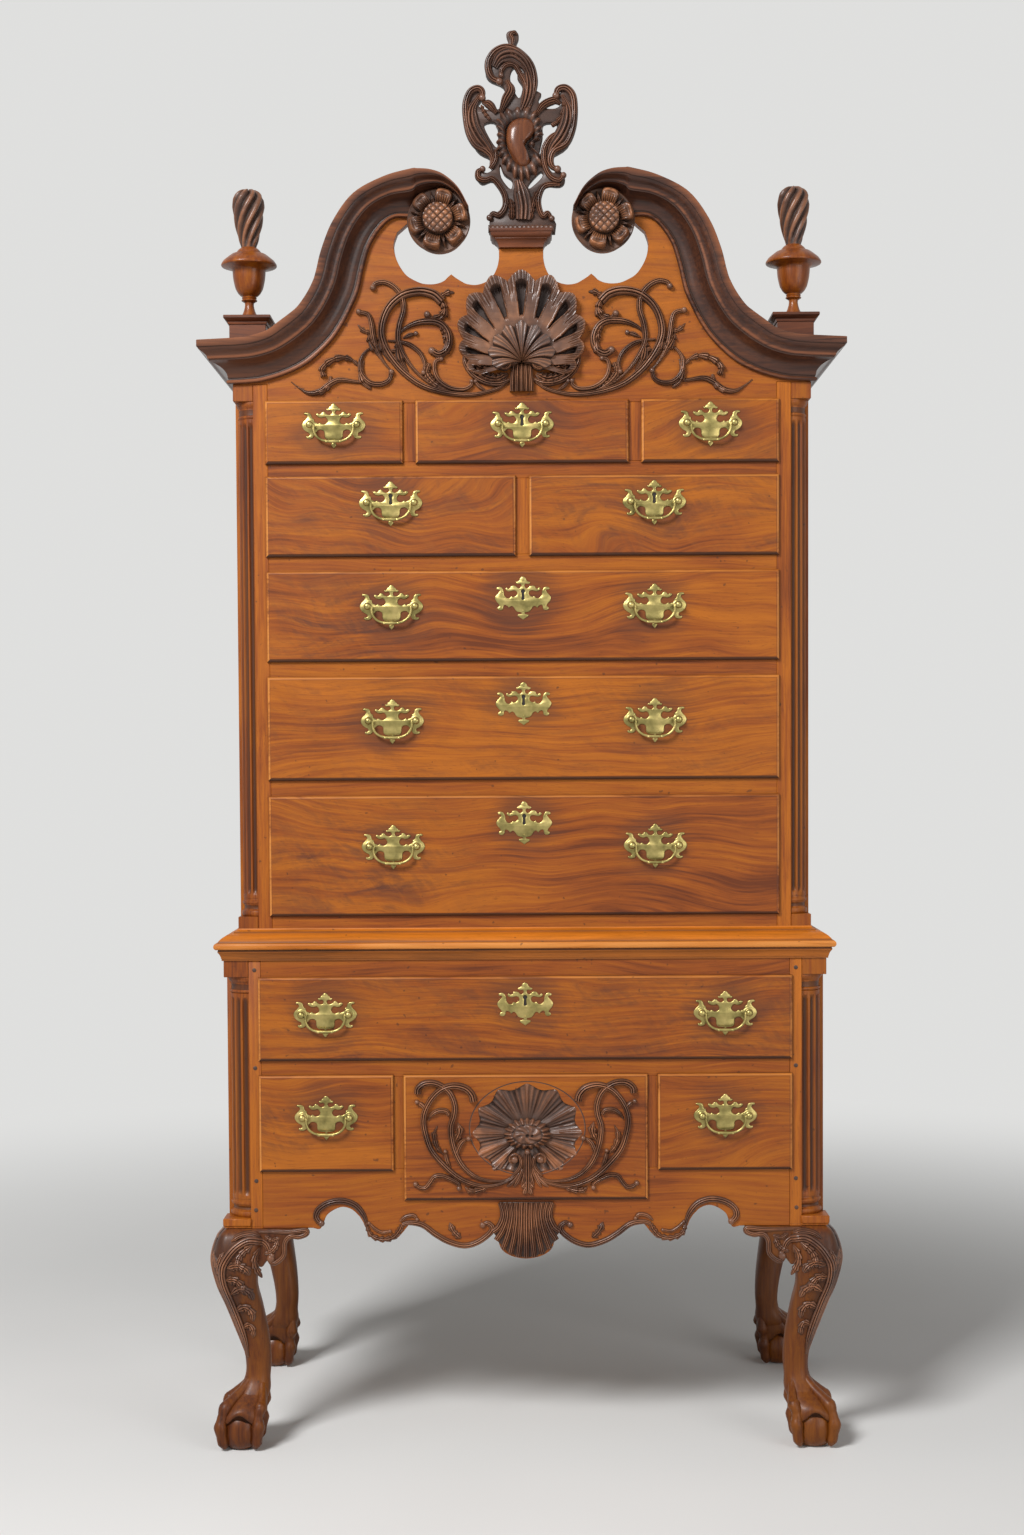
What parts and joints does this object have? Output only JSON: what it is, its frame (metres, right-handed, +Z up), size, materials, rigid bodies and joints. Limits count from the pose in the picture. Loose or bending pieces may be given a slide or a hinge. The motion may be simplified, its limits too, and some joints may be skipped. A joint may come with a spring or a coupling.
{
  "type": "scroll-top high chest of drawers",
  "caption": "Walnut high chest of drawers on cabriole legs with ball and claw feet, brass bail pulls, fluted quarter columns, a scrolled pediment, urn finials and a carved cartouche.",
  "frame": {"origin": "on the floor, under the middle of the piece in plan", "axes": "+X to the right seen from the front, +Y towards the back, +Z up"},
  "size_m": [1.082, 0.5956, 2.4002],
  "materials": {
    "walnut": "polished straight-grained walnut, warm red-brown",
    "figured_walnut": "polished figured walnut, warm orange-brown",
    "dark_walnut": "dark polished carved walnut",
    "urn_walnut": "turned golden walnut, polished",
    "brass": "old brass, softly polished"
  },
  "bodies": {
    "case": {"lower_case": "walnut", "upper_case": "walnut", "waist_moulding": "walnut", "lower_column_left": "walnut", "upper_column_left": "walnut", "lower_column_right": "walnut", "upper_column_right": "walnut", "cornice_left": "dark_walnut", "cornice_right": "dark_walnut", "scroll_board": "walnut", "pediment_shell": "dark_walnut", "finial_left": "urn_walnut", "finial_right": "urn_walnut", "cartouche": "dark_walnut", "front_leg_left": "walnut", "front_leg_right": "walnut", "rear_leg_left": "walnut", "rear_leg_right": "walnut"},
    "top_drawer_left": {"top_drawer_left": "figured_walnut", "top_drawer_left_bail_plate": "brass"},
    "top_drawer_centre": {"top_drawer_centre": "figured_walnut", "top_drawer_centre_bail_plate": "brass"},
    "top_drawer_right": {"top_drawer_right": "figured_walnut", "top_drawer_right_bail_plate": "brass"},
    "half_drawer_left": {"half_drawer_left": "figured_walnut", "half_drawer_left_bail_plate": "brass"},
    "half_drawer_right": {"half_drawer_right": "figured_walnut", "half_drawer_right_bail_plate": "brass"},
    "long_drawer_upper": {"long_drawer_upper": "figured_walnut", "long_drawer_upper_bail_plate_left": "brass", "long_drawer_upper_bail_plate_right": "brass"},
    "long_drawer_middle": {"long_drawer_middle": "figured_walnut", "long_drawer_middle_bail_plate_left": "brass", "long_drawer_middle_bail_plate_right": "brass"},
    "long_drawer_lower": {"long_drawer_lower": "figured_walnut", "long_drawer_lower_bail_plate_left": "brass", "long_drawer_lower_bail_plate_right": "brass"},
    "waist_drawer": {"waist_drawer": "figured_walnut", "waist_drawer_bail_plate_left": "brass", "waist_drawer_bail_plate_right": "brass"},
    "small_drawer_left": {"small_drawer_left": "figured_walnut", "small_drawer_left_bail_plate": "brass"},
    "small_drawer_right": {"small_drawer_right": "figured_walnut", "small_drawer_right_bail_plate": "brass"},
    "shell_drawer": {"shell_drawer": "figured_walnut"},
    "top_drawer_left_bail": {"top_drawer_left_bail": "brass"},
    "top_drawer_centre_bail": {"top_drawer_centre_bail": "brass"},
    "top_drawer_right_bail": {"top_drawer_right_bail": "brass"},
    "half_drawer_left_bail": {"half_drawer_left_bail": "brass"},
    "half_drawer_right_bail": {"half_drawer_right_bail": "brass"},
    "long_drawer_upper_bail_left": {"long_drawer_upper_bail_left": "brass"},
    "long_drawer_upper_bail_right": {"long_drawer_upper_bail_right": "brass"},
    "long_drawer_middle_bail_left": {"long_drawer_middle_bail_left": "brass"},
    "long_drawer_middle_bail_right": {"long_drawer_middle_bail_right": "brass"},
    "long_drawer_lower_bail_left": {"long_drawer_lower_bail_left": "brass"},
    "long_drawer_lower_bail_right": {"long_drawer_lower_bail_right": "brass"},
    "waist_drawer_bail_left": {"waist_drawer_bail_left": "brass"},
    "waist_drawer_bail_right": {"waist_drawer_bail_right": "brass"},
    "small_drawer_left_bail": {"small_drawer_left_bail": "brass"},
    "small_drawer_right_bail": {"small_drawer_right_bail": "brass"}
  },
  "joints": [
    {"name": "top_drawer_left_slide", "type": "slide", "parent": "case", "child": "top_drawer_left", "axis": [0, -1, 0], "range_m": [0, 0.38]},
    {"name": "top_drawer_centre_slide", "type": "slide", "parent": "case", "child": "top_drawer_centre", "axis": [0, -1, 0], "range_m": [0, 0.38]},
    {"name": "top_drawer_right_slide", "type": "slide", "parent": "case", "child": "top_drawer_right", "axis": [0, -1, 0], "range_m": [0, 0.38]},
    {"name": "half_drawer_left_slide", "type": "slide", "parent": "case", "child": "half_drawer_left", "axis": [0, -1, 0], "range_m": [0, 0.38]},
    {"name": "half_drawer_right_slide", "type": "slide", "parent": "case", "child": "half_drawer_right", "axis": [0, -1, 0], "range_m": [0, 0.38]},
    {"name": "long_drawer_upper_slide", "type": "slide", "parent": "case", "child": "long_drawer_upper", "axis": [0, -1, 0], "range_m": [0, 0.38]},
    {"name": "long_drawer_middle_slide", "type": "slide", "parent": "case", "child": "long_drawer_middle", "axis": [0, -1, 0], "range_m": [0, 0.38]},
    {"name": "long_drawer_lower_slide", "type": "slide", "parent": "case", "child": "long_drawer_lower", "axis": [0, -1, 0], "range_m": [0, 0.38]},
    {"name": "waist_drawer_slide", "type": "slide", "parent": "case", "child": "waist_drawer", "axis": [0, -1, 0], "range_m": [0, 0.38]},
    {"name": "small_drawer_left_slide", "type": "slide", "parent": "case", "child": "small_drawer_left", "axis": [0, -1, 0], "range_m": [0, 0.38]},
    {"name": "small_drawer_right_slide", "type": "slide", "parent": "case", "child": "small_drawer_right", "axis": [0, -1, 0], "range_m": [0, 0.38]},
    {"name": "shell_drawer_slide", "type": "slide", "parent": "case", "child": "shell_drawer", "axis": [0, -1, 0], "range_m": [0, 0.38]},
    {"name": "top_drawer_left_bail_hinge", "type": "hinge", "parent": "top_drawer_left", "child": "top_drawer_left_bail", "pos_m": [-0.3175, -0.26369, 1.741], "axis": [-1, 0, 0], "range_deg": [-8, 150]},
    {"name": "top_drawer_centre_bail_hinge", "type": "hinge", "parent": "top_drawer_centre", "child": "top_drawer_centre_bail", "pos_m": [0, -0.26369, 1.741], "axis": [-1, 0, 0], "range_deg": [-8, 150]},
    {"name": "top_drawer_right_bail_hinge", "type": "hinge", "parent": "top_drawer_right", "child": "top_drawer_right_bail", "pos_m": [0.3175, -0.26369, 1.741], "axis": [-1, 0, 0], "range_deg": [-8, 150]},
    {"name": "half_drawer_left_bail_hinge", "type": "hinge", "parent": "half_drawer_left", "child": "half_drawer_left_bail", "pos_m": [-0.2225, -0.26369, 1.61], "axis": [-1, 0, 0], "range_deg": [-8, 150]},
    {"name": "half_drawer_right_bail_hinge", "type": "hinge", "parent": "half_drawer_right", "child": "half_drawer_right_bail", "pos_m": [0.2225, -0.26369, 1.61], "axis": [-1, 0, 0], "range_deg": [-8, 150]},
    {"name": "long_drawer_upper_bail_left_hinge", "type": "hinge", "parent": "long_drawer_upper", "child": "long_drawer_upper_bail_left", "pos_m": [-0.2225, -0.26369, 1.436], "axis": [-1, 0, 0], "range_deg": [-8, 150]},
    {"name": "long_drawer_upper_bail_right_hinge", "type": "hinge", "parent": "long_drawer_upper", "child": "long_drawer_upper_bail_right", "pos_m": [0.2225, -0.26369, 1.436], "axis": [-1, 0, 0], "range_deg": [-8, 150]},
    {"name": "long_drawer_middle_bail_left_hinge", "type": "hinge", "parent": "long_drawer_middle", "child": "long_drawer_middle_bail_left", "pos_m": [-0.2225, -0.26369, 1.243], "axis": [-1, 0, 0], "range_deg": [-8, 150]},
    {"name": "long_drawer_middle_bail_right_hinge", "type": "hinge", "parent": "long_drawer_middle", "child": "long_drawer_middle_bail_right", "pos_m": [0.2225, -0.26369, 1.243], "axis": [-1, 0, 0], "range_deg": [-8, 150]},
    {"name": "long_drawer_lower_bail_left_hinge", "type": "hinge", "parent": "long_drawer_lower", "child": "long_drawer_lower_bail_left", "pos_m": [-0.2225, -0.26369, 1.03], "axis": [-1, 0, 0], "range_deg": [-8, 150]},
    {"name": "long_drawer_lower_bail_right_hinge", "type": "hinge", "parent": "long_drawer_lower", "child": "long_drawer_lower_bail_right", "pos_m": [0.2225, -0.26369, 1.03], "axis": [-1, 0, 0], "range_deg": [-8, 150]},
    {"name": "waist_drawer_bail_left_hinge", "type": "hinge", "parent": "waist_drawer", "child": "waist_drawer_bail_left", "pos_m": [-0.3385, -0.28669, 0.747], "axis": [-1, 0, 0], "range_deg": [-8, 150]},
    {"name": "waist_drawer_bail_right_hinge", "type": "hinge", "parent": "waist_drawer", "child": "waist_drawer_bail_right", "pos_m": [0.3385, -0.28669, 0.747], "axis": [-1, 0, 0], "range_deg": [-8, 150]},
    {"name": "small_drawer_left_bail_hinge", "type": "hinge", "parent": "small_drawer_left", "child": "small_drawer_left_bail", "pos_m": [-0.3385, -0.28669, 0.572], "axis": [-1, 0, 0], "range_deg": [-8, 150]},
    {"name": "small_drawer_right_bail_hinge", "type": "hinge", "parent": "small_drawer_right", "child": "small_drawer_right_bail", "pos_m": [0.3385, -0.28669, 0.572], "axis": [-1, 0, 0], "range_deg": [-8, 150]}
  ]
}
